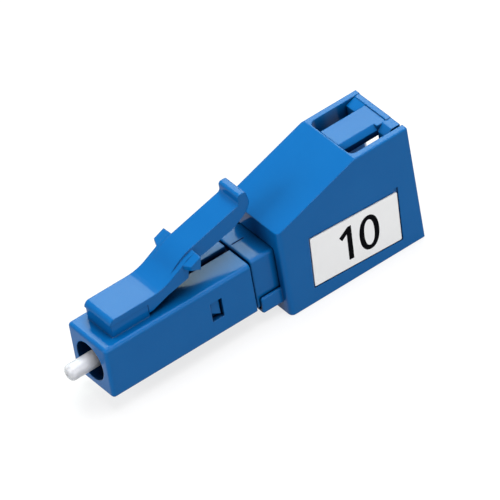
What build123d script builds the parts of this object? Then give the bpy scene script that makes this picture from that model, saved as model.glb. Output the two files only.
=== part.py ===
from build123d import *
import os
from math import radians, sin, tan

# Fibre attenuator with a latched plug at the front and a socket at the rear.
# Millimetres. X is across, with the label on +X. Y runs along the ferrule, with the
# plug's front face in the plane Y = 0 and the socket's mouth at the far +Y end. Z is up.

# Plug housing
plug_width = 4.5
plug_height = 4.4
plug_length = 12.52
plug_edge = 0.3
front_edge = 0.27
bore_radius = 1.55
bore_depth = 4.2
seat_web = 0.8
pocket_length = 4.62
plug_wall = 0.5

# Snap windows in the plug housing's sides, and the inner body's tabs in them
window_length = 0.99
window_to_rear = 2.67
window_bottom = -0.72
window_height = 1.62
tab_front_gap = 0.1
tab_rear_gap = 0.16
tab_bottom_gap = 0.18
tab_nose_gap = 0.6
tab_top_gap = 0.12
tab_recess = 0.2

# Relief slot in the plug housing's top, and its shallow run on the inner body
slot_centre = -0.35
slot_width = 0.56
slot_length = 4.22
slot_floor = 0.3

# Latch root block on the plug housing
latch_height = 1.52
latch_width = 3.05
plate_start = 1.2
plate_thickness = 0.45
plate_nose = 0.4
plate_nose_radius = 0.48
root_inset = 0.045
root_setback = 0.08
root_length = 3.18
slit_height = 0.34
pivot_setback = 0.3
pivot_drop = 0.57
root_undercut = 18.0
latch_gap = 0.02

# Latch lever, with its points counted from the pivot and from the root block's top
rise_start = 0.14
rise_radius = 3.58
rise_angle = 41.0
shoulder_angle = 32.0
crest_radius = 3.9
beam_width = 2.25
beam_slope = 15.0
lip_front = 8.46
lip_back = 9.17
lip_height = 3.68
lip_edge = 0.24
lip_foot_radius = 0.3
heel_points = [(9.26, 3.08), (9.22, 2.43), (8.6, 1.76)]
beam_underside = [(7.64, 1.22), (4.84, 0.56)]
arm_underside = [(3.24, -0.24), (1.41, -0.66)]
shoulder_top = [(3.34, 1.3), (2.74, 0.92)]
shoulder_rear = 4.12
shoulder_rear_top = 1.58
shoulder_under = 0.58
shoulder_under_end = 3.44
ear_span = 4.36
ear_root = 2.96
ear_full = 3.21
ear_inner_top = 1.23
ear_outer_top = 1.14
ear_rise = 0.38
ear_inner_under = 0.61
ear_outer_under = 0.5
ear_outer_under_front = 0.82
ear_heel = 3.96

# Ferrule and fibre
ferrule_radius = 0.6245
ferrule_reach = 2.0
tip_rounding = 0.36
tip_face_radius = 0.16
rear_chamfer = 0.12
waist_depth = 0.03
waist_width = 0.62
waist_to_flange = 0.6
fibre_radius = 0.0625
fibre_gap = 0.001

# Ferrule flange
flange_radius = 1.2
flange_length = 2.0
flange_nose_radius = 0.85
flange_nose_length = 0.6
flange_tail_length = 0.9
flange_notches = 4
notch_width = 0.35
notch_depth = 0.25
seat_gap = 0.02
nose_play = 0.1
flange_play = 0.25

# Coil spring
wire_radius = 0.11
spring_radius = 1.02
spring_turns = 6
wire_facets = 8
spring_inner_play = 0.09
spring_outer_play = 0.12

# Inner body
seam_gap = 0.2
snap_gap = 0.05
core_edge = 0.1
neck_width = 4.0
neck_length = 1.99
neck_edge = 0.25
neck_front_edge = 0.16
spring_room_length = 2.45
stop_web = 0.65
stop_play = 0.0955
groove_centre = -0.42
groove_start = 0.25
groove_length = 1.03
groove_width = 0.09
groove_depth = 0.12
body_flange = 0.4
body_flange_gap = 0.02

# Rear housing
socket_play = 0.06
shell_wall = 0.675
shell_length = 11.78
shell_floor = 1.26
shell_front_rise = 1.75
shell_rise = 4.3
slope_length = 7.2
front_corner = 0.38
shell_edge = 0.12
front_wall = 0.6
mouth_chamfer = 0.38
mouth_taper = 45
channel_roof = 0.65
neck_clearance = 0.13
roof_slot_setback = 0.09
roof_slot_depth = 2.3
ledge_width = 0.145
window_corner = 0.5

# Foot under the neck
foot_wall = 0.27
foot_floor = 0.42
foot_height = 1.42
foot_length = 1.76
foot_edge = 0.17
foot_corner = 0.2

# Latch roof
roof_near_gap = 0.22
roof_far_gap = 0.03
roof_front_gap = 0.04
roof_rear_gap = 0.05
beam_play = 0.075
bar_drop = 0.08
bar_thickness = 0.82
bar_lead = 0.38
block_drop = 0.05
near_ramp_length = 0.5
near_ramp_drop = 0.5
far_ramp_length = 0.82
far_ramp_drop = 0.28
far_step = 0.04
rib_length = 0.42
bar_bevel = 0.36

# Label and its recess
label_length = 7.6
label_height = 4.2
label_tilt = -3.0
label_sink = 0.02
label_thickness = 0.1
label_corner = 0.1
label_margin = 0.1
label_top_margin = 0.2
label_start = 2.42
label_centre_z = -0.27
pick_notch_length = 0.36
pick_notch_height = 0.42

# Split sleeve and its holder
sleeve_setback = 1.31
sleeve_length = 6.6
sleeve_wall = 0.17
sleeve_slot = 0.25
sleeve_play = 0.011
holder_play = 0.05
holder_wall = 0.5945
holder_base = 0.4
holder_lip = 0.4
holder_lip_play = 0.0755
holder_chamfer = 0.2
mate_gap = 0.21

# Sizes across, worked out from the ones above
half_plug = plug_width / 2
plug_top = plug_height / 2
half_latch = latch_width / 2
half_beam = beam_width / 2
half_ear = ear_span / 2
pocket_size = plug_width - 2 * plug_wall
core_size = pocket_size - 2 * snap_gap
socket_size = plug_width + 2 * socket_play
half_socket = socket_size / 2
half_shell = half_socket + shell_wall
roof_slot_width = socket_size + 2 * ledge_width
roof_near_side = roof_slot_width / 2 - roof_near_gap
roof_far_side = roof_slot_width / 2 - roof_far_gap
half_bar = half_beam + beam_play
body_flange_size = socket_size - 2 * body_flange_gap
seat_hole_radius = flange_nose_radius + nose_play
flange_room_radius = flange_radius + flange_play
flange_tail_radius = spring_radius - wire_radius - spring_inner_play
spring_room_radius = spring_radius + wire_radius + spring_outer_play
stop_hole_radius = ferrule_radius + stop_play
sleeve_inner = ferrule_radius + sleeve_play
sleeve_outer = sleeve_inner + sleeve_wall
holder_inner = sleeve_outer + holder_play
holder_radius = holder_inner + holder_wall
holder_lip_radius = ferrule_radius + holder_lip_play

# Heights
latch_top = plug_top + latch_height
plate_under = latch_top - plate_thickness
slit_top = plug_top + slit_height
pivot_z = latch_top - pivot_drop
window_centre_z = window_bottom + window_height / 2
tab_bottom = window_bottom + tab_bottom_gap
tab_nose_bottom = window_bottom + tab_nose_gap
tab_top = window_bottom + window_height - tab_top_gap
shell_bottom = -half_socket - shell_floor
shell_front_top = plug_top + shell_front_rise
shell_top = plug_top + shell_rise
ledge_height = shell_top - roof_slot_depth
bar_top = shell_top - bar_drop
bar_bottom = bar_top - bar_thickness
block_top = shell_top - block_drop
far_block_top = shell_top - far_step
foot_bottom = -plug_top - foot_floor

# Places along the ferrule
root_start = plate_start + root_setback
root_end = root_start + root_length
pivot_y = root_end + pivot_setback
stub_end = pivot_y - latch_gap / 2
lever_start = pivot_y + latch_gap / 2
seat_y = bore_depth + seat_web
pocket_start = plug_length - pocket_length
window_centre_y = plug_length - window_to_rear - window_length / 2
slot_centre_y = plug_length - slot_length / 2
flange_start = seat_y + seat_gap
flange_end = flange_start + flange_length
flange_tail_end = flange_end + flange_tail_length
waist_centre = flange_start - waist_to_flange
core_start = pocket_start + snap_gap
tab_front = window_centre_y - window_length / 2 + tab_front_gap
tab_rear = window_centre_y + window_length / 2 - tab_rear_gap
spring_stop = core_start + spring_room_length
spring_length = spring_stop - flange_end - 2 * wire_radius
sleeve_room_start = spring_stop + stop_web
neck_start = plug_length + seam_gap
shell_front = neck_start + neck_length
foot_start = shell_front - foot_length
slope_end = shell_front + slope_length
shell_rear = shell_front + shell_length
body_flange_start = shell_front + front_wall
body_end = body_flange_start + body_flange
optical_plane = body_end - sleeve_setback
sleeve_start = optical_plane - sleeve_length / 2
sleeve_end = optical_plane + sleeve_length / 2
holder_room_end = sleeve_end + holder_play
holder_end = holder_room_end + holder_lip
mate_front = body_end + holder_base + mate_gap
catch_start = mate_front + pivot_y + shoulder_rear
catch_end = shell_rear - roof_rear_gap
rib_start = catch_end - rib_length
roof_slot_start = slope_end + roof_slot_setback
roof_pitch = (shell_top - shell_front_top) / slope_length
label_centre_y = shell_front + label_start + label_length / 2


def across(y):
    """Plane square to the ferrule at y, with X across and Z up. It grows towards -Y."""
    return Plane(origin=(0, y, 0), x_dir=(1, 0, 0), z_dir=(0, -1, 0))


def side_on(x):
    """Plane square to X at x, with Y along and Z up. It grows towards +X."""
    return Plane(origin=(x, 0, 0), x_dir=(0, 1, 0), z_dir=(1, 0, 0))


def on_latch(points):
    """The lever's points, counted from its pivot along Y and from the root block's top."""
    return [(pivot_y + along, latch_top + up) for along, up in points]


def channel_height(y):
    """Height of the latch channel's sloped roof inside the shell at y."""
    return shell_front_top + (y - shell_front) * roof_pitch - channel_roof


os.makedirs("parts", exist_ok=True)

# Plug housing: a square tube that carries the latch's root block
with BuildPart() as plug_housing:
    with BuildSketch(across(plug_length)):
        Rectangle(plug_width, plug_height)
    extrude(amount=plug_length)
    fillet(plug_housing.edges().filter_by(Axis.Y), radius=plug_edge)
    fillet(plug_housing.faces().sort_by(Axis.Y)[0].edges(), radius=front_edge)
    # pedestal
    with BuildSketch(Plane.XY.offset(pocket_size / 2)):
        with Locations((0, (root_start + root_end) / 2)):
            Rectangle(latch_width - 2 * root_inset, root_length)
    extrude(amount=plate_under - pocket_size / 2)
    # front plate and the fixed stub of the arm
    with BuildSketch(side_on(0)):
        with BuildLine():
            nose_low = (plate_start, plate_under)
            nose_high = (plate_start + plate_nose, latch_top)
            RadiusArc(nose_low, nose_high, plate_nose_radius)
            undercut = (pivot_z - slit_top) * tan(radians(root_undercut))
            Polyline(
                nose_high,
                (stub_end, latch_top),
                (stub_end, pivot_z),
                (stub_end - undercut, slit_top),
                (root_end, slit_top),
                (root_end, plate_under),
                nose_low,
            )
        make_face()
    extrude(amount=half_latch, both=True)
    # bore, seat, flange room and rear pocket
    with BuildSketch(across(0)):
        Circle(bore_radius)
    extrude(amount=-bore_depth, mode=Mode.SUBTRACT)
    with BuildSketch(across(0)):
        Circle(seat_hole_radius)
    extrude(amount=-pocket_start, mode=Mode.SUBTRACT)
    with BuildSketch(across(seat_y)):
        Circle(flange_room_radius)
    extrude(amount=-(pocket_start - seat_y), mode=Mode.SUBTRACT)
    with BuildSketch(across(pocket_start)):
        Rectangle(pocket_size, pocket_size)
    extrude(amount=-pocket_length, mode=Mode.SUBTRACT)
    # snap windows through both sides
    with BuildSketch(side_on(0)):
        with Locations((window_centre_y, window_centre_z)):
            Rectangle(window_length, window_height)
    extrude(amount=half_plug, both=True, mode=Mode.SUBTRACT)
    # relief slot in the top, open to the rear
    with BuildSketch(Plane.XY.offset(core_size / 2)):
        with Locations((slot_centre, slot_centre_y)):
            Rectangle(slot_width, slot_length)
    extrude(amount=plug_top, mode=Mode.SUBTRACT)
plug_housing.part.label = "plug_housing"
export_step(plug_housing.part, "parts/plug_housing.step")

# The lever's two catch ears, before they join it
with BuildPart() as ears:
    for side in (1, -1):
        for reach, top, heel, under, under_front in (
            (half_beam, ear_inner_top, shoulder_rear, ear_inner_under, ear_inner_under),
            (half_ear, ear_outer_top, ear_heel, ear_outer_under, ear_outer_under_front),
        ):
            with BuildSketch(side_on(side * reach)):
                with BuildLine():
                    Polyline(
                        *on_latch([
                            (ear_root - ear_rise, top - ear_rise),
                            (ear_full, top),
                            (shoulder_rear, top + ear_rise),
                            (heel, under),
                            (ear_full, under_front),
                        ]),
                        close=True,
                    )
                make_face()
        loft(ruled=True)
    # plan shape: straight flanks, then a short taper out to the full span
    with BuildSketch(Plane.XY.offset(latch_top)):
        with BuildLine():
            Polyline(
                (0, pivot_y + ear_root - ear_rise),
                (half_latch, pivot_y + ear_root - ear_rise),
                (half_latch, pivot_y + ear_root),
                (half_ear, pivot_y + ear_full),
                (half_ear, pivot_y + shoulder_rear),
                (0, pivot_y + shoulder_rear),
            )
            mirror(about=Plane.YZ)
        make_face()
    extrude(amount=latch_height * 2, both=True, mode=Mode.INTERSECT)

# Latch lever: sprung arm with a curved rise, catch ears and a lipped thumb end
with BuildPart() as latch_lever:
    # beam over the whole length
    with BuildSketch(side_on(0)):
        with BuildLine():
            front = Line((lever_start, pivot_z), (lever_start, latch_top))
            flat = Line(front @ 1, (pivot_y + rise_start, latch_top))
            rise = JernArc(flat @ 1, (1, 0), rise_radius, rise_angle)
            crest = JernArc(rise @ 1, rise % 1, crest_radius, beam_slope - rise_angle)
            lip_foot_reach = lip_foot_radius * (1 - sin(radians(beam_slope)))
            ridge_end = pivot_y + lip_front - lip_foot_reach
            climb = (ridge_end - (crest @ 1).X) * tan(radians(beam_slope))
            ridge = Line(crest @ 1, (ridge_end, (crest @ 1).Y + climb))
            lip_top = latch_top + lip_height
            lip_foot = JernArc(ridge @ 1, ridge % 1, lip_foot_radius, 90 - beam_slope)
            lip = FilletPolyline(
                lip_foot @ 1,
                (pivot_y + lip_front, lip_top),
                (pivot_y + lip_back, lip_top),
                on_latch(heel_points)[0],
                radius=lip_edge,
            )
            heel = Spline(lip @ 1, *on_latch(heel_points)[1:], on_latch(beam_underside)[0])
            under = Polyline(heel @ 1, on_latch(beam_underside)[1], *on_latch(arm_underside))
            Polyline(under @ 1, (lever_start, slit_top), front @ 0)
        make_face()
    extrude(amount=half_beam, both=True)
    # wider front part, a little lower beside the beam from the rise on
    with BuildSketch(side_on(0)):
        with BuildLine():
            wide_front = Line((lever_start, pivot_z), (lever_start, latch_top))
            wide_flat = Line(wide_front @ 1, (pivot_y + rise_start, latch_top))
            wide_rise = JernArc(wide_flat @ 1, (1, 0), rise_radius, shoulder_angle)
            Polyline(
                wide_rise @ 1,
                *on_latch(reversed(shoulder_top)),
                *on_latch([
                    (shoulder_rear, shoulder_rear_top),
                    (shoulder_rear, shoulder_under),
                    (shoulder_under_end, shoulder_under),
                ]),
                *on_latch(arm_underside),
                (lever_start, slit_top),
                wide_front @ 0,
            )
        make_face()
    extrude(amount=half_latch, both=True)
    add(ears.part)
latch_lever.part.label = "latch_lever"
export_step(latch_lever.part, "parts/latch_lever.step")

# Ferrule: white ceramic pin with a rounded tip and a narrow bore for the fibre
with BuildPart() as ferrule:
    with BuildSketch(Plane.XY):
        with BuildLine():
            face = Line((fibre_radius + fibre_gap, -ferrule_reach), (tip_face_radius, -ferrule_reach))
            tip = EllipticalCenterArc(
                (tip_face_radius, tip_rounding - ferrule_reach),
                x_radius=ferrule_radius - tip_face_radius,
                y_radius=tip_rounding,
                start_angle=270,
                arc_size=90,
            )
            Polyline(
                tip @ 1,
                (ferrule_radius, waist_centre - waist_width / 2),
                (ferrule_radius - waist_depth, waist_centre),
                (ferrule_radius, waist_centre + waist_width / 2),
                (ferrule_radius, optical_plane - rear_chamfer),
                (ferrule_radius - rear_chamfer, optical_plane),
                (fibre_radius + fibre_gap, optical_plane),
                face @ 0,
            )
        make_face()
    revolve(axis=Axis.Y)
ferrule.part.label = "ferrule"
export_step(ferrule.part, "parts/ferrule.step")

# Attenuating fibre from end face to end face
with BuildPart() as attenuating_fibre:
    with BuildSketch(across(-ferrule_reach)):
        Circle(fibre_radius)
    extrude(amount=-(ferrule_reach + optical_plane))
attenuating_fibre.part.label = "attenuating_fibre"
export_step(attenuating_fibre.part, "parts/attenuating_fibre.step")

# Ferrule flange: pressed collar with a nose, a notched rim and a tail in the spring
with BuildPart() as ferrule_flange:
    with BuildSketch(across(flange_start - flange_nose_length)):
        Circle(flange_nose_radius)
    extrude(amount=-flange_nose_length)
    with BuildSketch(across(flange_start)):
        Circle(flange_radius)
        with PolarLocations(flange_radius, flange_notches):
            Rectangle(2 * notch_depth, notch_width, mode=Mode.SUBTRACT)
    extrude(amount=-flange_length)
    with BuildSketch(across(flange_end)):
        Circle(flange_tail_radius)
    extrude(amount=-flange_tail_length)
    with BuildSketch(across(flange_start - flange_nose_length)):
        Circle(ferrule_radius)
    extrude(amount=-(flange_tail_end - flange_start + flange_nose_length), mode=Mode.SUBTRACT)
ferrule_flange.part.label = "ferrule_flange"
export_step(ferrule_flange.part, "parts/ferrule_flange.step")

# Coil spring between the flange and the stop in the inner body
with BuildPart() as coil_spring:
    with BuildLine():
        coil = Helix(
            pitch=spring_length / spring_turns,
            height=spring_length,
            radius=spring_radius,
            center=(0, flange_end + wire_radius, 0),
            direction=(0, 1, 0),
        )
    with BuildSketch(Plane(origin=coil @ 0, z_dir=coil % 0)):
        RegularPolygon(radius=wire_radius, side_count=wire_facets)
    sweep(is_frenet=True)
coil_spring.part.label = "coil_spring"
export_step(coil_spring.part, "parts/coil_spring.step")

# Inner body: core in the plug housing, neck, and the flange behind the shell's front wall
with BuildPart() as inner_body:
    with BuildSketch(across(neck_start)):
        RectangleRounded(neck_width, plug_height, neck_edge)
    extrude(amount=-(body_flange_start - neck_start))
    fillet(inner_body.faces().sort_by(Axis.Y)[0].edges(), radius=neck_front_edge)
    with BuildSketch(across(core_start)):
        RectangleRounded(core_size, core_size, core_edge)
    extrude(amount=-(neck_start - core_start))
    with BuildSketch(across(body_flange_start)):
        Rectangle(body_flange_size, body_flange_size)
    extrude(amount=-body_flange)
    # snap tabs in the plug housing's side windows, cut away under their nose
    with BuildSketch(side_on(0)):
        with BuildLine():
            Polyline(
                (tab_front, tab_nose_bottom),
                (tab_front, tab_top),
                (tab_rear, tab_top),
                (tab_rear, tab_bottom),
                close=True,
            )
        make_face()
    extrude(amount=half_plug - tab_recess, both=True)
    # spring room, stop and sleeve room
    with BuildSketch(across(core_start)):
        Circle(spring_room_radius)
    extrude(amount=-spring_room_length, mode=Mode.SUBTRACT)
    with BuildSketch(across(spring_stop)):
        Circle(stop_hole_radius)
    extrude(amount=-(body_end - spring_stop), mode=Mode.SUBTRACT)
    with BuildSketch(across(sleeve_room_start)):
        Circle(holder_inner)
    extrude(amount=-(body_end - sleeve_room_start), mode=Mode.SUBTRACT)
    # shallow run under the relief slot
    with BuildSketch(Plane.XY.offset(core_size / 2)):
        with Locations((slot_centre, slot_centre_y)):
            Rectangle(slot_width, slot_length)
        with Locations((slot_centre, plug_length + seam_gap / 2)):
            Rectangle(slot_width, seam_gap)
    extrude(amount=-slot_floor, mode=Mode.SUBTRACT)
    # seam along the neck's top
    with BuildSketch(Plane.XY.offset(plug_top)):
        with Locations((groove_centre, neck_start + groove_start + groove_length / 2)):
            Rectangle(groove_width, groove_length)
    extrude(amount=-groove_depth, mode=Mode.SUBTRACT)
inner_body.part.label = "inner_body"
export_step(inner_body.part, "parts/inner_body.step")

# Rear housing: wedge-shaped shell with the socket, the latch channel and the foot
with BuildPart() as rear_housing:
    with BuildSketch(side_on(0)):
        with BuildLine():
            Polyline(
                (shell_front, shell_bottom),
                (shell_front, shell_front_top),
                (slope_end, shell_top),
                (shell_rear, shell_top),
                (shell_rear, shell_bottom),
                close=True,
            )
        make_face()
    extrude(amount=half_shell, both=True)
    front_uprights = rear_housing.edges().filter_by(Axis.Z).sort_by(Axis.Y)[0:2]
    fillet(front_uprights, radius=front_corner)
    fillet(rear_housing.edges().filter_by(Axis.Y), radius=shell_edge)
    # foot
    with BuildSketch(across(shell_front)):
        with Locations((0, foot_bottom + foot_height / 2)):
            RectangleRounded(neck_width + 2 * foot_wall, foot_height, foot_corner)
    extrude(amount=foot_length)
    fillet(rear_housing.faces().sort_by(Axis.Y)[0].edges(), radius=foot_edge)
    # opening for the neck
    with BuildSketch(across(foot_start)):
        RectangleRounded(neck_width + 2 * neck_clearance, plug_height + 2 * neck_clearance, neck_edge)
    extrude(amount=-(body_flange_start - foot_start), mode=Mode.SUBTRACT)
    # socket
    with BuildSketch(across(body_flange_start)):
        Rectangle(socket_size, socket_size)
    extrude(amount=-(shell_rear - body_flange_start), mode=Mode.SUBTRACT)
    # latch channel with a sloped roof
    with BuildSketch(side_on(0)):
        with BuildLine():
            Polyline(
                (body_flange_start, 0),
                (body_flange_start, channel_height(body_flange_start)),
                (roof_slot_start, channel_height(roof_slot_start)),
                (roof_slot_start, ledge_height),
                (shell_rear, ledge_height),
                (shell_rear, 0),
                close=True,
            )
        make_face()
    extrude(amount=half_socket, both=True, mode=Mode.SUBTRACT)
    # lead-in at the mouth
    with BuildSketch(across(shell_rear)):
        with Locations((0, (ledge_height - half_socket) / 2)):
            Rectangle(
                socket_size + 2 * mouth_chamfer,
                ledge_height + half_socket + 2 * mouth_chamfer,
            )
    extrude(amount=mouth_chamfer, taper=mouth_taper, mode=Mode.SUBTRACT)
    # roof slot, open above and to the rear
    with BuildSketch(Plane.XY.offset(ledge_height)) as roof_slot:
        with Locations((0, (roof_slot_start + shell_rear) / 2)):
            Rectangle(roof_slot_width, shell_rear - roof_slot_start)
        fillet(roof_slot.vertices().sort_by(Axis.Y)[0:2], radius=window_corner)
    extrude(amount=roof_slot_depth, mode=Mode.SUBTRACT)
    # shallow recess for the label, with a notch to pick it out by
    with BuildSketch(side_on(half_shell)):
        with Locations(Location((label_centre_y, label_centre_z), label_tilt)):
            with Locations((0, (label_top_margin - label_margin) / 2)):
                Rectangle(label_length + 2 * label_margin, label_height + label_margin + label_top_margin)
            with Locations(((label_length - pick_notch_length) / 2 + label_margin, label_height / 2)):
                Rectangle(pick_notch_length, 2 * pick_notch_height)
    extrude(amount=-(label_thickness + label_sink), mode=Mode.SUBTRACT)
rear_housing.part.label = "rear_housing"
export_step(rear_housing.part, "parts/rear_housing.step")

# Latch roof: middle bar with a catch block on each side, and a rib across the rear
with BuildPart() as latch_roof:
    for reach, top, ramp_length, ramp_drop in (
        (roof_near_side, block_top, near_ramp_length, near_ramp_drop),
        (-roof_far_side, far_block_top, far_ramp_length, far_ramp_drop),
    ):
        with BuildSketch(side_on(0)):
            with BuildLine():
                Polyline(
                    (catch_start, ledge_height),
                    (catch_start, top),
                    (catch_end, top),
                    (catch_end, ledge_height),
                    close=True,
                )
            make_face()
        extrude(amount=reach)
        with BuildSketch(side_on(0)):
            with BuildLine():
                Polyline(
                    (catch_start, top - ramp_drop),
                    (catch_start, top),
                    (catch_start + ramp_length, top),
                    close=True,
                )
            make_face()
        extrude(amount=reach, mode=Mode.SUBTRACT)
    # channel for the mating latch, then the bar over it
    with BuildSketch(side_on(0)):
        with Locations(((catch_start + catch_end) / 2, (ledge_height + shell_top) / 2)):
            Rectangle(catch_end - catch_start, roof_slot_depth)
    extrude(amount=half_bar, both=True, mode=Mode.SUBTRACT)
    with BuildSketch(side_on(0)):
        with BuildLine():
            Polyline(
                (roof_slot_start + roof_front_gap, bar_bottom),
                (roof_slot_start + roof_front_gap, bar_top),
                (catch_end, bar_top),
                (catch_end, bar_bottom + bar_lead),
                (catch_start, bar_bottom),
                close=True,
            )
        make_face()
    extrude(amount=half_bar, both=True)
    # bevel along the bar's near edge, as far as the catch block
    with BuildSketch(across(catch_start)):
        with BuildLine():
            Polyline(
                (half_bar - bar_bevel, bar_top),
                (half_bar, bar_top),
                (half_bar, bar_top - bar_bevel),
                close=True,
            )
        make_face()
    extrude(amount=catch_start - roof_slot_start, mode=Mode.SUBTRACT)
    # rib across the rear, as far as the bar's near side
    with BuildSketch(side_on(half_bar)):
        with BuildLine():
            Polyline(
                (rib_start, bar_bottom + bar_lead),
                (rib_start, shell_top),
                (catch_end, shell_top),
                (catch_end, bar_bottom + bar_lead),
                close=True,
            )
        make_face()
    extrude(amount=-(roof_far_side + half_bar))
latch_roof.part.label = "latch_roof"
export_step(latch_roof.part, "parts/latch_roof.step")

# Label in its recess
with BuildPart() as label_plate:
    with BuildSketch(side_on(half_shell - label_sink)):
        with Locations((label_centre_y, label_centre_z)):
            RectangleRounded(label_length, label_height, label_corner, rotation=label_tilt)
    extrude(amount=-label_thickness)
label_plate.part.label = "label_plate"
export_step(label_plate.part, "parts/label_plate.step")

# Split sleeve: slotted tube that lines up the two ferrules
with BuildPart() as split_sleeve:
    with BuildSketch(Plane.XY):
        with BuildLine():
            Polyline(
                (sleeve_inner, sleeve_start),
                (sleeve_outer, sleeve_start),
                (sleeve_outer, sleeve_end),
                (sleeve_inner, sleeve_end),
                (sleeve_inner, optical_plane + waist_width / 2),
                (sleeve_inner + waist_depth, optical_plane),
                (sleeve_inner, optical_plane - waist_width / 2),
                close=True,
            )
        make_face()
    revolve(axis=Axis.Y)
    with BuildSketch(Plane.XY):
        with Locations((0, optical_plane)):
            Rectangle(sleeve_slot, sleeve_length)
    extrude(amount=sleeve_outer, mode=Mode.SUBTRACT)
split_sleeve.part.label = "split_sleeve"
export_step(split_sleeve.part, "parts/split_sleeve.step")

# Sleeve holder: square base against the inner body, and a tube with an end lip
with BuildPart() as sleeve_holder:
    with BuildSketch(across(body_end)):
        Rectangle(body_flange_size, body_flange_size)
    extrude(amount=-holder_base)
    with BuildSketch(across(body_end)):
        Circle(holder_radius)
    extrude(amount=-(holder_end - body_end))
    chamfer(sleeve_holder.faces().sort_by(Axis.Y)[-1].edges(), length=holder_chamfer)
    with BuildSketch(across(body_end)):
        Circle(holder_inner)
    extrude(amount=-(holder_room_end - body_end), mode=Mode.SUBTRACT)
    with BuildSketch(across(body_end)):
        Circle(holder_lip_radius)
    extrude(amount=-(holder_end - body_end), mode=Mode.SUBTRACT)
sleeve_holder.part.label = "sleeve_holder"
export_step(sleeve_holder.part, "parts/sleeve_holder.step")
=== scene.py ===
from math import copysign, cos, pi, radians, sin

import bmesh
import bpy
from mathutils import Matrix, Quaternion, Vector


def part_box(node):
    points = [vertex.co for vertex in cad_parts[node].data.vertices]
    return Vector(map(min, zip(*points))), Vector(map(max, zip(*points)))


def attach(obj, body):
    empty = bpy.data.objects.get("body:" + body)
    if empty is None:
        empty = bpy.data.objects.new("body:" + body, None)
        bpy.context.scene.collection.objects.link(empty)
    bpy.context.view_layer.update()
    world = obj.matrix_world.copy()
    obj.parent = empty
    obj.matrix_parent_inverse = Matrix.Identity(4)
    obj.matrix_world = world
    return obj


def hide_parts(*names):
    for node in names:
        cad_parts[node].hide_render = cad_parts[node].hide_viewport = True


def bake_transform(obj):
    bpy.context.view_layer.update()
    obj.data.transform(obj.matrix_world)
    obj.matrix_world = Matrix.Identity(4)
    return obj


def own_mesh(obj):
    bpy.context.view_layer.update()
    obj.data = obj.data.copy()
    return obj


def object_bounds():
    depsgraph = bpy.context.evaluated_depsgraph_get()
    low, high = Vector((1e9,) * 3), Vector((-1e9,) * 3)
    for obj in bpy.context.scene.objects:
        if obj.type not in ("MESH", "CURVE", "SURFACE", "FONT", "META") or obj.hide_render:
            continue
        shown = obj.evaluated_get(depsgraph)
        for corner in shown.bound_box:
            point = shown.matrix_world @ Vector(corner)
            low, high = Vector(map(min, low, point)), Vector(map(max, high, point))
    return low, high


# Fibre attenuator with a latched plug at the front and a socket at the rear.
# Metres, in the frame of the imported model: X across, Y along the ferrule, Z up.

MM = 0.001

# Cleaning a CAD node's mesh, and where its edges turn sharp
WELD_DISTANCE = 0.001 * MM
FLAT_ANGLE = radians(0.5)
SHARP_ANGLE = radians(24)

# Latch root and lever where they meet at the hinge. Each runs on inside the other by its overlap, a
# hair narrower, and its corners more than UPPER_CORNERS over the plug's top are a hair lower too.
HINGE_Y = 4.76 * MM
PLUG_TOP = 2.54 * MM
HAIR = 0.004 * MM
JOINT_SLACK = 0.02 * MM
UPPER_CORNERS = 1.0 * MM
ROOT_HALF_WIDTH = 1.6 * MM
ROOT_END_LENGTH = 0.25 * MM
ROOT_ROW_MARGIN = 0.01 * MM
ROOT_OVERLAP = 0.15 * MM
LEVER_OVERLAP = 0.16 * MM
LEVER_FRONT_LEAN = 0.106

# Rows of edges across the lever behind the hinge, where it bends
LEVER_FRONT_ROW = 0.05 * MM
BENDING_ROWS = 8
ROW_SPACING = 0.16 * MM

# The number printed on the label. The flag's points count from the upper left corner of the one's
# stem, and the nought's fullness is how far its curve handles reach along its sides and its ends.
LABEL_TILT = radians(-3.0)
PRINT_DEPTH = 0.002 * MM
PRINT_LIFT = 0.003 * MM
DIGIT_HEIGHT = 2.9 * MM
DIGIT_WIDTH = 1.72 * MM
DIGIT_SPACE = 0.62 * MM
STROKE = 0.42 * MM
FLAG = ((0.12 * MM, 0), (-0.66 * MM, -0.62 * MM), (-0.44 * MM, -0.98 * MM), (0, -0.60 * MM))
NOUGHT_OVERSHOOT = 0.04 * MM
NOUGHT_THINNING = 0.9
SIDE_FULLNESS = 0.66
END_FULLNESS = 0.56

# Studio
FLOOR_RADIUS = 3.0
FLOOR_GREY = (0.24, 0.24, 0.24, 1)
FLOOR_GLOW = 0.74
SURROUND_GREY = (0.10, 0.10, 0.11, 1)
WHITE = (1, 1, 1, 1)
LIGHTS_AIM = Vector((0, 12 * MM, 2 * MM))

# Colours of the finishes, and of painted shade on the blue
BLUE = (0.0017, 0.132, 0.404, 1)
DEEP_BLUE = (0.0011, 0.111, 0.360, 1)
# Painted shade: a darker blue along edges
PAINTED_EDGE_SHADE = (0.0012, 0.100, 0.350, 1)
# Painted shade: near-black blue in corners and gaps
PAINTED_CORNER_SHADE = (0.0004, 0.012, 0.050, 1)
PAPER_WHITE = (0.99, 0.99, 0.99, 1)
PAPER_SHADE = (0.96, 0.96, 0.96, 1)
INK_BLACK = (0.003, 0.003, 0.004, 1)
INK_GREY = (0.008, 0.008, 0.010, 1)
ZIRCONIA = (0.57, 0.58, 0.61, 1)
ZIRCONIA_SHADE = (0.52, 0.53, 0.57, 1)
BRASS = (0.72, 0.66, 0.50, 1)
BRASS_SHADE = (0.60, 0.53, 0.38, 1)
STEEL = (0.60, 0.60, 0.62, 1)
STEEL_SHADE = (0.46, 0.46, 0.48, 1)
GLASS = (0.80, 0.85, 0.90, 1)
GLASS_SHADE = (0.74, 0.80, 0.86, 1)


def add(tree, kind, **settings):
    """A new shader node, with its settings by name."""
    node = tree.nodes.new(kind)
    for name, value in settings.items():
        setattr(node, name, value)
    return node


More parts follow.
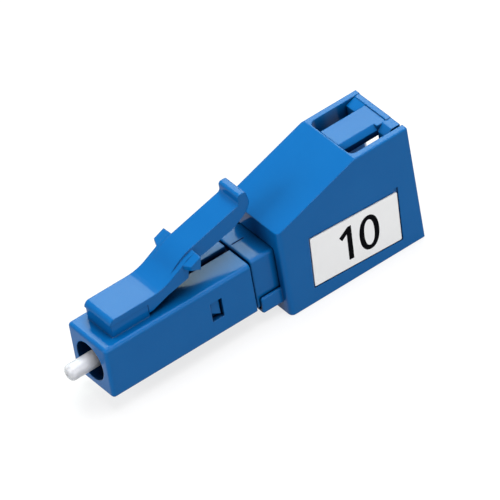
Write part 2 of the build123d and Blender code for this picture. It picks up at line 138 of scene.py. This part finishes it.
def new_group(name, inputs, outputs):
    """A node group with named sockets. Each input is (kind, default)."""
    group = bpy.data.node_groups.new(name, "ShaderNodeTree")
    for label, (kind, default) in inputs.items():
        socket = group.interface.new_socket(label, in_out="INPUT", socket_type=kind)
        socket.default_value = default
    for label, kind in outputs.items():
        group.interface.new_socket(label, in_out="OUTPUT", socket_type=kind)
    entry = add(group, "NodeGroupInput")
    result = add(group, "NodeGroupOutput")
    return group, entry, result


def use_group(tree, group, **values):
    """A group placed in a material with its own values."""
    node = add(tree, "ShaderNodeGroup", node_tree=group)
    for name, value in values.items():
        node.inputs[name.replace("_", " ").capitalize()].default_value = value
    return node


def edge_group():
    """Rounded edges: a normal that turns softly over each edge, and a mask of where that is.

    Upright faces keep their own normal along their lower edge, which stays crisp on the floor's side.
    """
    group, entry, result = new_group(
        "Rounded edges",
        {"Radius": ("NodeSocketFloat", 0.05 * MM)},
        {"Mask": "NodeSocketFloat", "Normal": "NodeSocketVector"},
    )
    links = group.links
    bevel = add(group, "ShaderNodeBevel", samples=6)
    surface = add(group, "ShaderNodeNewGeometry")
    agreement = add(group, "ShaderNodeVectorMath", operation="DOT_PRODUCT")
    mask = add(group, "ShaderNodeMapRange")
    mask.inputs["From Min"].default_value = 0.995
    mask.inputs["From Max"].default_value = 0.80
    links.new(entry.outputs["Radius"], bevel.inputs["Radius"])
    links.new(bevel.outputs["Normal"], agreement.inputs[0])
    links.new(surface.outputs["Normal"], agreement.inputs[1])
    links.new(agreement.outputs["Value"], mask.inputs["Value"])
    links.new(mask.outputs["Result"], result.inputs["Mask"])
    turned = add(group, "ShaderNodeSeparateXYZ")
    flat = add(group, "ShaderNodeSeparateXYZ")
    least = add(group, "ShaderNodeMath", operation="MINIMUM")
    least.inputs[1].default_value = 0.0
    upward = add(group, "ShaderNodeMath", operation="MAXIMUM")
    joined = add(group, "ShaderNodeCombineXYZ")
    even = add(group, "ShaderNodeVectorMath", operation="NORMALIZE")
    links.new(bevel.outputs["Normal"], turned.inputs["Vector"])
    links.new(surface.outputs["Normal"], flat.inputs["Vector"])
    links.new(flat.outputs["Z"], least.inputs[0])
    links.new(turned.outputs["Z"], upward.inputs[0])
    links.new(least.outputs["Value"], upward.inputs[1])
    links.new(turned.outputs["X"], joined.inputs["X"])
    links.new(turned.outputs["Y"], joined.inputs["Y"])
    links.new(upward.outputs["Value"], joined.inputs["Z"])
    links.new(joined.outputs["Vector"], even.inputs[0])
    links.new(even.outputs["Vector"], result.inputs["Normal"])
    return group


def grain_group():
    """Fine grain: a height for the bump and a roughness that varies with it and in soft patches."""
    group, entry, result = new_group(
        "Fine grain",
        {
            "Grain per metre": ("NodeSocketFloat", 20000.0),
            "Patches per metre": ("NodeSocketFloat", 400.0),
            "Smoothest": ("NodeSocketFloat", 0.25),
            "Roughest": ("NodeSocketFloat", 0.40),
        },
        {"Height": "NodeSocketFloat", "Roughness": "NodeSocketFloat"},
    )
    links = group.links
    place = add(group, "ShaderNodeTexCoord")
    grain = add(group, "ShaderNodeTexNoise")
    grain.inputs["Detail"].default_value = 3.0
    grain.inputs["Roughness"].default_value = 0.6
    patches = add(group, "ShaderNodeTexNoise")
    patches.inputs["Detail"].default_value = 2.0
    mixed = add(group, "ShaderNodeMath", operation="MULTIPLY_ADD")
    mixed.inputs[1].default_value = 0.35
    spread = add(group, "ShaderNodeMapRange")
    spread.inputs["From Min"].default_value = 0.45
    spread.inputs["From Max"].default_value = 0.90
    links.new(place.outputs["Object"], grain.inputs["Vector"])
    links.new(place.outputs["Object"], patches.inputs["Vector"])
    links.new(entry.outputs["Grain per metre"], grain.inputs["Scale"])
    links.new(entry.outputs["Patches per metre"], patches.inputs["Scale"])
    links.new(grain.outputs["Fac"], mixed.inputs[0])
    links.new(patches.outputs["Fac"], mixed.inputs[2])
    links.new(mixed.outputs["Value"], spread.inputs["Value"])
    links.new(entry.outputs["Smoothest"], spread.inputs["To Min"])
    links.new(entry.outputs["Roughest"], spread.inputs["To Max"])
    links.new(grain.outputs["Fac"], result.inputs["Height"])
    links.new(spread.outputs["Result"], result.inputs["Roughness"])
    return group


def painted_shade_group():
    """Painted shade in corners and gaps that little light reaches: the colour goes over to a deeper one
    there.
    """
    group, entry, result = new_group(
        "Painted corner shade",
        {
            "Colour": ("NodeSocketColor", (0.5, 0.5, 0.5, 1)),
            "Deep tone": ("NodeSocketColor", (0.1, 0.1, 0.1, 1)),
            "Reach": ("NodeSocketFloat", 0.6 * MM),
        },
        {"Colour": "NodeSocketColor"},
    )
    links = group.links
    # Painted shade: the more the surroundings block, the more the colour goes to the shade tone
    openness = add(group, "ShaderNodeAmbientOcclusion", samples=8)
    painted_shade = add(group, "ShaderNodeMapRange")
    painted_shade.inputs["From Min"].default_value = 0.80
    painted_shade.inputs["From Max"].default_value = 0.22
    shaded = add(group, "ShaderNodeMix", data_type="RGBA")
    links.new(entry.outputs["Reach"], openness.inputs["Distance"])
    links.new(openness.outputs["AO"], painted_shade.inputs["Value"])
    links.new(painted_shade.outputs["Result"], shaded.inputs["Factor"])
    links.new(entry.outputs["Colour"], shaded.inputs["A"])
    links.new(entry.outputs["Deep tone"], shaded.inputs["B"])
    links.new(shaded.outputs["Result"], result.inputs["Colour"])
    return group


def tint_group():
    """Colour that drifts softly between two tones, and a third painted where the mask is, as edge shade.
    """
    group, entry, result = new_group(
        "Drifting tint",
        {
            "Tone": ("NodeSocketColor", (0.5, 0.5, 0.5, 1)),
            "Second tone": ("NodeSocketColor", (0.4, 0.4, 0.4, 1)),
            "Edge tone": ("NodeSocketColor", (0.7, 0.7, 0.7, 1)),
            "Patches per metre": ("NodeSocketFloat", 250.0),
            "Edge mask": ("NodeSocketFloat", 0.0),
            "Edge share": ("NodeSocketFloat", 0.5),
        },
        {"Colour": "NodeSocketColor"},
    )
    links = group.links
    place = add(group, "ShaderNodeTexCoord")
    patches = add(group, "ShaderNodeTexNoise")
    patches.inputs["Detail"].default_value = 4.0
    patches.inputs["Roughness"].default_value = 0.55
    drift = add(group, "ShaderNodeMix", data_type="RGBA")
    broken = add(group, "ShaderNodeMath", operation="MULTIPLY")
    share = add(group, "ShaderNodeMath", operation="MULTIPLY")
    edge_shaded = add(group, "ShaderNodeMix", data_type="RGBA")
    links.new(place.outputs["Object"], patches.inputs["Vector"])
    links.new(entry.outputs["Patches per metre"], patches.inputs["Scale"])
    links.new(patches.outputs["Fac"], drift.inputs["Factor"])
    links.new(entry.outputs["Tone"], drift.inputs["A"])
    links.new(entry.outputs["Second tone"], drift.inputs["B"])
    links.new(entry.outputs["Edge mask"], broken.inputs[0])
    links.new(patches.outputs["Fac"], broken.inputs[1])
    links.new(broken.outputs["Value"], share.inputs[0])
    links.new(entry.outputs["Edge share"], share.inputs[1])
    links.new(share.outputs["Value"], edge_shaded.inputs["Factor"])
    links.new(drift.outputs["Result"], edge_shaded.inputs["A"])
    links.new(entry.outputs["Edge tone"], edge_shaded.inputs["B"])
    links.new(edge_shaded.outputs["Result"], result.inputs["Colour"])
    return group


def finish_material(
    name, groups, tones, patches, grain, roughness, bump, edge_radius, edge_share=0.3,
):
    """A material with drifting colour, fine grain and soft edges, and its shader for more values.

    The tones are two that drift and one painted along the edges, as painted shade on the blue. Patches and
    grain are counted per metre, the roughness goes from smoothest to roughest, and the bump is its
    strength and its depth.
    """
    material = bpy.data.materials.new(name)
    material.use_nodes = True
    tree = material.node_tree
    links = tree.links
    shader = tree.nodes["Principled BSDF"]
    surface = use_group(
        tree, groups["grain"],
        grain_per_metre=grain, patches_per_metre=patches, smoothest=roughness[0], roughest=roughness[1],
    )
    tint = use_group(
        tree, groups["tint"],
        tone=tones[0], second_tone=tones[1], edge_tone=tones[2],
        patches_per_metre=patches, edge_share=edge_share,
    )
    relief = add(tree, "ShaderNodeBump")
    relief.inputs["Strength"].default_value = bump[0]
    relief.inputs["Distance"].default_value = bump[1]
    edges = use_group(tree, groups["edges"], radius=edge_radius)
    links.new(edges.outputs["Mask"], tint.inputs["Edge mask"])
    links.new(edges.outputs["Normal"], relief.inputs["Normal"])
    links.new(surface.outputs["Height"], relief.inputs["Height"])
    links.new(surface.outputs["Roughness"], shader.inputs["Roughness"])
    links.new(tint.outputs["Colour"], shader.inputs["Base Color"])
    links.new(relief.outputs["Normal"], shader.inputs["Normal"])
    return material, shader


def blue_plastic(groups):
    """Moulded blue plastic with a satin skin, and painted shade along its edges and in its corners."""
    # Its edge tone is painted shade, a darker blue along the edges
    material, shader = finish_material(
        "moulded_blue_plastic", groups, (BLUE, DEEP_BLUE, PAINTED_EDGE_SHADE),
        patches=300.0, grain=16000.0, roughness=(0.09, 0.15), bump=(0.05, 0.008 * MM),
        edge_radius=0.14 * MM, edge_share=0.7,
    )
    shader.inputs["Specular IOR Level"].default_value = 0.10
    tree = material.node_tree
    # Painted shade: near-black blue in corners, gaps and under the lever, by how much the surroundings
    # block
    painted_shade = use_group(tree, groups["painted_shade"], deep_tone=PAINTED_CORNER_SHADE, reach=4.5 * MM)
    tinted = shader.inputs["Base Color"].links[0].from_socket
    tree.links.new(tinted, painted_shade.inputs["Colour"])
    tree.links.new(painted_shade.outputs["Colour"], shader.inputs["Base Color"])
    return material


def label_paper(groups):
    """Coated white paper."""
    material, shader = finish_material(
        "label_paper", groups, (PAPER_WHITE, PAPER_SHADE, PAPER_SHADE),
        patches=900.0, grain=30000.0, roughness=(0.42, 0.60), bump=(0.12, 0.006 * MM),
        edge_radius=0.01 * MM,
    )
    shader.inputs["Specular IOR Level"].default_value = 1.0
    return material


def label_ink(groups):
    """Black print, a little uneven on the paper."""
    material, shader = finish_material(
        "label_ink", groups, (INK_BLACK, INK_GREY, INK_GREY),
        patches=1500.0, grain=40000.0, roughness=(0.35, 0.55), bump=(0.10, 0.004 * MM),
        edge_radius=0.005 * MM,
    )
    shader.inputs["Specular IOR Level"].default_value = 0.0
    return material


def white_ceramic(groups):
    """Polished zirconia, slightly translucent."""
    material, shader = finish_material(
        "polished_zirconia", groups, (ZIRCONIA, ZIRCONIA_SHADE, ZIRCONIA),
        patches=700.0, grain=45000.0, roughness=(0.20, 0.30), bump=(0.04, 0.004 * MM),
        edge_radius=0.02 * MM,
    )
    shader.inputs["Subsurface Weight"].default_value = 1.0
    shader.inputs["Subsurface Radius"].default_value = (1.0, 0.95, 0.9)
    shader.inputs["Subsurface Scale"].default_value = 1.3 * MM
    shader.inputs["IOR"].default_value = 1.6
    return material


def collar_metal(groups):
    """Nickel-toned brass with fine turning marks."""
    material, shader = finish_material(
        "turned_brass", groups, (BRASS, BRASS_SHADE, BRASS),
        patches=1200.0, grain=50000.0, roughness=(0.24, 0.38), bump=(0.15, 0.004 * MM),
        edge_radius=0.02 * MM,
    )
    shader.inputs["Metallic"].default_value = 1.0
    return material


def spring_steel(groups):
    """Drawn steel wire."""
    material, shader = finish_material(
        "drawn_steel_wire", groups, (STEEL, STEEL_SHADE, STEEL),
        patches=2000.0, grain=60000.0, roughness=(0.22, 0.36), bump=(0.12, 0.003 * MM),
        edge_radius=0.01 * MM,
    )
    shader.inputs["Metallic"].default_value = 1.0
    return material


def fibre_glass(groups):
    """Clear doped glass."""
    material, shader = finish_material(
        "doped_glass", groups, (GLASS, GLASS_SHADE, GLASS),
        patches=3000.0, grain=60000.0, roughness=(0.02, 0.06), bump=(0.02, 0.001 * MM),
        edge_radius=0.005 * MM,
    )
    shader.inputs["Transmission Weight"].default_value = 1.0
    shader.inputs["IOR"].default_value = 1.46
    return material


def dress(node, material):
    """Gives a CAD node its finish."""
    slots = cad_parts[node].data.materials
    slots.clear()
    slots.append(material)


def cleaned_copy(node, name):
    """A piece that starts from a CAD node's shape, with its flat faces whole again, as an open bmesh."""
    piece = bpy.data.objects.new(name, bpy.data.meshes.new(name))
    bpy.context.scene.collection.objects.link(piece)
    shape = bmesh.new()
    shape.from_mesh(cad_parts[node].data)
    bmesh.ops.remove_doubles(shape, verts=shape.verts, dist=WELD_DISTANCE)
    bmesh.ops.dissolve_limit(shape, angle_limit=FLAT_ANGLE, verts=shape.verts, edges=shape.edges)
    return piece, shape


def above_plug(vert):
    """Whether a corner lies on the plug's top or above it."""
    return vert.co.z > PLUG_TOP - HAIR


def cut(shape, y):
    """Adds a row of edges across the open shape at one Y, above the plug's top."""
    upper = [v for v in shape.verts if above_plug(v)]
    upper += [part for part in shape.edges[:] + shape.faces[:] if all(above_plug(v) for v in part.verts)]
    bmesh.ops.bisect_plane(shape, geom=upper, plane_co=(0, y, 0), plane_no=(0, 1, 0))


def tuck(vert, y):
    """Moves a corner at the hinge to Y and a hair inwards, so that the other piece covers it."""
    vert.co.y = y
    vert.co.x -= copysign(HAIR, vert.co.x)
    if vert.co.z > PLUG_TOP + UPPER_CORNERS:
        vert.co.z -= HAIR


def close_shape(piece, shape):
    """Makes the open shape the piece's mesh: smooth where it curves and sharp at its edges."""
    for edge in shape.edges:
        edge.smooth = not edge.is_manifold or edge.calc_face_angle() < SHARP_ANGLE
    for face in shape.faces:
        face.smooth = True
    shape.to_mesh(piece.data)
    shape.free()
    weighted = piece.modifiers.new("flat_faces", "WEIGHTED_NORMAL")
    weighted.keep_sharp = True
    bpy.context.view_layer.update()
    shaped = piece.evaluated_get(bpy.context.evaluated_depsgraph_get())
    mesh = bpy.data.meshes.new_from_object(shaped)
    mesh.name = piece.name
    piece.modifiers.clear()
    piece.data = mesh


def moulded_plug(material):
    """The plug housing, with the end of its root block running on inside the lever."""
    plug, shape = cleaned_copy("plug_housing", "plug_moulding")
    low = HINGE_Y - ROOT_END_LENGTH
    high = HINGE_Y + JOINT_SLACK
    end = [
        v for v in shape.verts
        if low < v.co.y < high and abs(v.co.x) < ROOT_HALF_WIDTH and above_plug(v)
    ]
    cut(shape, low - ROOT_ROW_MARGIN)
    for vert in end:
        tuck(vert, vert.co.y + ROOT_OVERLAP)
    close_shape(plug, shape)
    plug.data.materials.append(material)
    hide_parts("plug_housing")
    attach(plug, "housing")


def moulded_lever(material):
    """The latch lever, whose front runs on inside the root block and which bends beside it."""
    lever, shape = cleaned_copy("latch_lever", "lever_moulding")
    front = [v for v in shape.verts if v.co.y < HINGE_Y + JOINT_SLACK]
    top = max(v.co.z for v in front)
    cut(shape, HINGE_Y + LEVER_FRONT_ROW)
    for vert in front:
        tuck(vert, HINGE_Y - LEVER_OVERLAP - LEVER_FRONT_LEAN * (top - vert.co.z))
    for row in range(1, BENDING_ROWS + 1):
        cut(shape, HINGE_Y + row * ROW_SPACING)
    close_shape(lever, shape)
    lever.data.materials.append(material)
    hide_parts("latch_lever")
    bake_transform(lever)


def shortening_spring(material):
    """A copy of the coil spring in its own mesh, on the housing; the spring shortens towards its seat as
    the ferrule floats back.
    """
    coils = bpy.data.objects.new("spring_coils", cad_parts["coil_spring"].data.copy())
    bpy.context.scene.collection.objects.link(coils)
    coils.data.materials.clear()
    coils.data.materials.append(material)
    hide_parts("coil_spring")
    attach(coils, "housing")
    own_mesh(coils)


def oval(curve, centre, half_width, half_height):
    """A closed oval outline on a flat curve. Its sides are straighter than an ellipse's."""
    spline = curve.splines.new("BEZIER")
    spline.bezier_points.add(3)
    spline.use_cyclic_u = True
    corners = ((1, 0), (0, 1), (-1, 0), (0, -1))
    for point, (across, up) in zip(spline.bezier_points, corners):
        point.co = (centre + across * half_width, up * half_height, 0)
        ahead = Vector((-up * END_FULLNESS * half_width, across * SIDE_FULLNESS * half_height, 0))
        point.handle_left = point.co - ahead
        point.handle_right = point.co + ahead


def outline(curve, points):
    """A closed outline with straight sides on a flat curve."""
    spline = curve.splines.new("POLY")
    spline.points.add(len(points) - 1)
    spline.use_cyclic_u = True
    for point, (across, up) in zip(spline.points, points):
        point.co = (across, up, 0, 1)


def label_number(material):
    """The plain number ten printed on the label: a one with a flag, and a tall nought."""
    low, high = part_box("label_plate")
    middle = (low + high) / 2
    curve = bpy.data.curves.new("label_number", "CURVE")
    curve.dimensions = "2D"
    curve.fill_mode = "BOTH"
    curve.extrude = PRINT_DEPTH
    curve.resolution_u = 16
    half = DIGIT_HEIGHT / 2
    left = -DIGIT_SPACE / 2 - STROKE
    stem = [(left, -half), (left + STROKE, -half), (left + STROKE, half)]
    flag = [(left + across, half + up) for across, up in FLAG]
    outline(curve, stem + flag)
    centre = DIGIT_SPACE / 2 + DIGIT_WIDTH / 2
    tall = half + NOUGHT_OVERSHOOT
    oval(curve, centre, DIGIT_WIDTH / 2, tall)
    oval(curve, centre, DIGIT_WIDTH / 2 - STROKE, tall - STROKE * NOUGHT_THINNING)
    curve.materials.append(material)
    number = bpy.data.objects.new("label_number", curve)
    bpy.context.scene.collection.objects.link(number)
    along = Vector((0, cos(LABEL_TILT), sin(LABEL_TILT)))
    up = Vector((0, -sin(LABEL_TILT), cos(LABEL_TILT)))
    turn = Matrix((along, up, Vector((1, 0, 0)))).transposed()
    number.matrix_world = Matrix.Translation((high.x + PRINT_LIFT, middle.y, middle.z)) @ turn.to_4x4()
    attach(number, "housing")


def studio_floor():
    """Pale floor that is white to the camera and holds the object's shadow.

    It is clear from below, and it is left out of the painted corner shade on the underside's colour.
    """
    mesh = bpy.data.meshes.new("studio_floor")
    floor = bpy.data.objects.new("studio_floor", mesh)
    bpy.context.scene.collection.objects.link(floor)
    shape = bmesh.new()
    bmesh.ops.create_circle(shape, cap_ends=True, segments=96, radius=FLOOR_RADIUS)
    shape.to_mesh(mesh)
    shape.free()
    floor.location.z = cad_box[0][2]
    # Unseen by shadow rays, so the painted corner shade leaves the floor out
    floor.visible_shadow = False
    material = bpy.data.materials.new("pale_floor")
    material.use_nodes = True
    tree = material.node_tree
    shader = tree.nodes["Principled BSDF"]
    shader.inputs["Base Color"].default_value = FLOOR_GREY
    shader.inputs["Roughness"].default_value = 0.9
    shader.inputs["Specular IOR Level"].default_value = 0.0
    shader.inputs["Emission Color"].default_value = WHITE
    glow = add(tree, "ShaderNodeMath", operation="MULTIPLY")
    glow.inputs[1].default_value = FLOOR_GLOW
    tree.links.new(white_to_eye(tree), glow.inputs[0])
    tree.links.new(glow.outputs["Value"], shader.inputs["Emission Strength"])
    surface = add(tree, "ShaderNodeNewGeometry")
    solid = add(tree, "ShaderNodeMath", operation="SUBTRACT")
    solid.inputs[0].default_value = 1.0
    tree.links.new(surface.outputs["Backfacing"], solid.inputs[1])
    tree.links.new(solid.outputs["Value"], shader.inputs["Alpha"])
    mesh.materials.append(material)


def white_to_eye(tree):
    """1 for camera, glossy and transmission rays, and 0 for the rest."""
    path = add(tree, "ShaderNodeLightPath")
    first = add(tree, "ShaderNodeMath", operation="MAXIMUM")
    second = add(tree, "ShaderNodeMath", operation="MAXIMUM")
    tree.links.new(path.outputs["Is Camera Ray"], first.inputs[0])
    tree.links.new(path.outputs["Is Glossy Ray"], first.inputs[1])
    tree.links.new(first.outputs["Value"], second.inputs[0])
    tree.links.new(path.outputs["Is Transmission Ray"], second.inputs[1])
    return second.outputs["Value"]


def softbox(name, direction, distance, size, strength, tint=(1, 1, 1)):
    """An even rectangular light that faces the object. Its strength is how bright its face is."""
    light = bpy.data.lights.new(name, "AREA")
    light.shape = "RECTANGLE"
    light.size, light.size_y = size
    light.energy = strength * pi * size[0] * size[1]
    light.color = tint
    lamp = bpy.data.objects.new(name, light)
    bpy.context.scene.collection.objects.link(lamp)
    away = Vector(direction).normalized()
    lamp.location = LIGHTS_AIM + away * distance
    lamp.rotation_euler = away.to_track_quat("Z", "Y").to_euler()


def studio_light():
    """Soft boxes overhead, behind, in front and beside, in a dim surround that is white to the eye."""
    softbox(
        "rear_softbox", (-0.66, 0.46, 0.62), distance=0.55, size=(0.25, 0.28), strength=6.9,
        tint=(0.94, 1.16, 1.06),
    )
    softbox("top_softbox", (0.06, 0.16, 0.98), distance=0.60, size=(0.50, 0.50), strength=4.8)
    softbox("front_softbox", (-0.05, -0.90, 0.38), distance=0.60, size=(0.36, 0.36), strength=5.3)
    softbox("side_softbox", (0.94, 0.10, 0.32), distance=0.60, size=(0.40, 0.40), strength=3.4)
    world = bpy.data.worlds.new("studio")
    bpy.context.scene.world = world
    world.use_nodes = True
    tree = world.node_tree
    links = tree.links
    background = tree.nodes["Background"]
    surround = add(tree, "ShaderNodeMix", data_type="RGBA")
    surround.inputs["A"].default_value = SURROUND_GREY
    surround.inputs["B"].default_value = WHITE
    links.new(white_to_eye(tree), surround.inputs["Factor"])
    links.new(surround.outputs["Result"], background.inputs["Color"])
    background.inputs["Strength"].default_value = 1.0


def place_camera():
    """The photograph's viewpoint: a long lens, from above the label's side, leaning a little."""
    data = bpy.data.cameras.new("photo_camera")
    data.sensor_width = 36.0
    data.lens = 608.72
    data.clip_start = 0.01
    data.clip_end = 50.0
    camera = bpy.data.objects.new("photo_camera", data)
    bpy.context.scene.collection.objects.link(camera)
    azimuth = radians(59.976)
    elevation = radians(40.349)
    lean = radians(-10.435)
    distance = 582.62
    target = Vector((3.0138, 12.3521, 4.2035)) * MM
    away = Vector((cos(elevation) * sin(azimuth), -cos(elevation) * cos(azimuth), sin(elevation)))
    camera.location = target + away * distance * MM
    level = away.to_track_quat("Z", "Y")
    camera.rotation_euler = (level @ Quaternion((0, 0, 1), lean)).to_euler()
    bpy.context.scene.camera = camera


def box_lists(box):
    """A box as two plain lists."""
    return [[float(v) for v in corner] for corner in box]


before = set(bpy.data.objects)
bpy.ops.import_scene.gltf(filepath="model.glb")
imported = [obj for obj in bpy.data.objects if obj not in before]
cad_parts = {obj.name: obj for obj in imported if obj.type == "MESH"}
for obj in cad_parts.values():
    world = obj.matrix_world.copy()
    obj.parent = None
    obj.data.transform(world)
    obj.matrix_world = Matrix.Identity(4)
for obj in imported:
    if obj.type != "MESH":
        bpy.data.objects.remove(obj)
cad_box = box_lists(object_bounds())

place_camera()
studio_floor()
studio_light()

effects = {"edges": edge_group(), "grain": grain_group(), "painted_shade": painted_shade_group(), "tint": tint_group()}
blue = blue_plastic(effects)
for name in ("plug_housing", "latch_lever", "inner_body", "rear_housing", "latch_roof", "sleeve_holder"):
    dress(name, blue)
moulded_plug(blue)
moulded_lever(blue)
ceramic = white_ceramic(effects)
dress("ferrule", ceramic)
dress("split_sleeve", ceramic)
dress("attenuating_fibre", fibre_glass(effects))
dress("ferrule_flange", collar_metal(effects))
steel = spring_steel(effects)
dress("coil_spring", steel)
shortening_spring(steel)
dress("label_plate", label_paper(effects))
label_number(label_ink(effects))

bpy.context.scene.view_settings.view_transform = "Standard"
